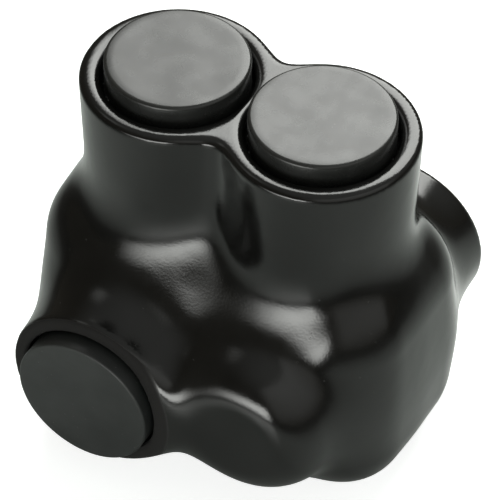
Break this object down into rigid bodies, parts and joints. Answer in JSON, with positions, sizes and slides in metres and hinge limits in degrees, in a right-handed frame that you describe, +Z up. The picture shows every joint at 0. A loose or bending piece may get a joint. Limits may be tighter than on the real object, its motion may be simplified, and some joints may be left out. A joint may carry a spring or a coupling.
{
  "type": "insulated splice connector",
  "caption": "Insulated splice connector: aluminium set-screw block in a soft-formed glossy black cover, capped screw towers and plugged wire ports facing opposite ways.",
  "frame": {"origin": "middle of the flat base, under the middle of the row of towers", "axes": "+X along the row of towers to the right, +Y to the rear port, +Z up the towers"},
  "size_m": [0.0572, 0.0539, 0.0585],
  "materials": {
    "cover": "glossy black plastisol",
    "body": "tin plated",
    "screw": "machined",
    "cap": "matte grey-black",
    "plug": "matte black"
  },
  "bodies": {
    "connector": {"insulating_cover": "cover", "connector_body": "body"},
    "screw_left": {"set_screw_left": "screw"},
    "screw_right": {"set_screw_right": "screw"},
    "cap_left": {"screw_cap_left": "cap"},
    "cap_right": {"screw_cap_right": "cap"},
    "plug_front": {"wire_plug_front": "plug"},
    "plug_rear": {"wire_plug_rear": "plug"}
  },
  "joints": [
    {"name": "screw_cap_left_pull", "type": "slide", "parent": "connector", "child": "cap_left", "axis": [0, 0, 1], "range_m": [0, 0.022]},
    {"name": "screw_cap_right_pull", "type": "slide", "parent": "connector", "child": "cap_right", "axis": [0, 0, 1], "range_m": [0, 0.022]},
    {"name": "wire_plug_front_pull", "type": "slide", "parent": "connector", "child": "plug_front", "axis": [0, -1, 0], "range_m": [0, 0.022]},
    {"name": "wire_plug_rear_pull", "type": "slide", "parent": "connector", "child": "plug_rear", "axis": [0, 1, 0], "range_m": [0, 0.022]},
    {"name": "set_screw_left_drive", "type": "slide", "parent": "connector", "child": "screw_left", "axis": [0, 0, -1], "range_m": [0, 0.01]},
    {"name": "set_screw_right_drive", "type": "slide", "parent": "connector", "child": "screw_right", "axis": [0, 0, -1], "range_m": [0, 0.01]}
  ]
}
